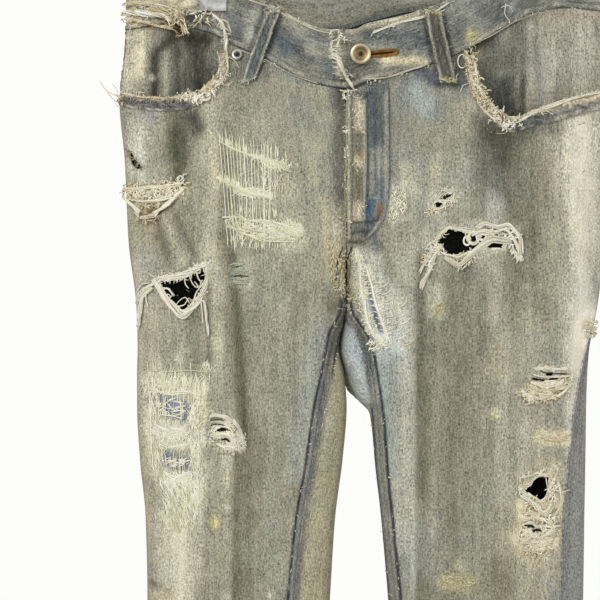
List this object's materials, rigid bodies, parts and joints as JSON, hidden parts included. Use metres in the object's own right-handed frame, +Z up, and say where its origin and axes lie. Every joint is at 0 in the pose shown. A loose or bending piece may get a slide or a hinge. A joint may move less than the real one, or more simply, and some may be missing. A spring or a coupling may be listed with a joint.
{
  "type": "ripped jeans on a clip hanger",
  "caption": "Worn and ripped denim jeans hung by the waistband from a clip hanger, with gaping front pockets and a sagging waist.",
  "frame": {"origin": "inner top of the hanger's hook, where a rail or nail carries it", "axes": "+X to the wearer's left, +Y to the garment's back, +Z up"},
  "size_m": [0.4147, 0.0872, 1.1335],
  "materials": {
    "denim_front": "worn, faded twill",
    "denim_back": "worn, faded twill",
    "denim_blue": "worn twill, less faded",
    "denim_inside": "worn twill in shade",
    "thread_edge": "frayed edge",
    "old_nickel": "aged",
    "steel": "plain",
    "dark_steel": "plain"
  },
  "bodies": {
    "root": {"front_panel_right": "denim_front", "front_panel_left": "denim_front", "back_panel_right": "denim_back", "back_panel_left": "denim_back", "yoke_right": "denim_blue", "yoke_left": "denim_blue", "waistband": "denim_blue", "pocket_facing_right": "denim_inside", "pocket_facing_left": "denim_inside", "pocket_edge_right": "thread_edge", "pocket_edge_left": "thread_edge", "fly_flap": "denim_front", "belt_loop_front_right": "denim_blue", "belt_loop_front_left": "denim_blue", "belt_loop_back_right": "denim_blue", "belt_loop_back_centre": "denim_blue", "belt_loop_back_left": "denim_blue", "back_pocket_right": "denim_back", "back_pocket_left": "denim_back", "hem_right": "denim_front", "hem_left": "denim_front", "shank_button": "old_nickel", "rivet_right": "old_nickel", "hanger_hook": "steel", "hanger_bar": "steel", "clip_right_jaw_front": "steel", "clip_right_jaw_back": "steel", "clip_right_spring": "dark_steel", "clip_left_jaw_front": "steel", "clip_left_jaw_back": "steel", "clip_left_spring": "dark_steel"}
  },
  "joints": []
}
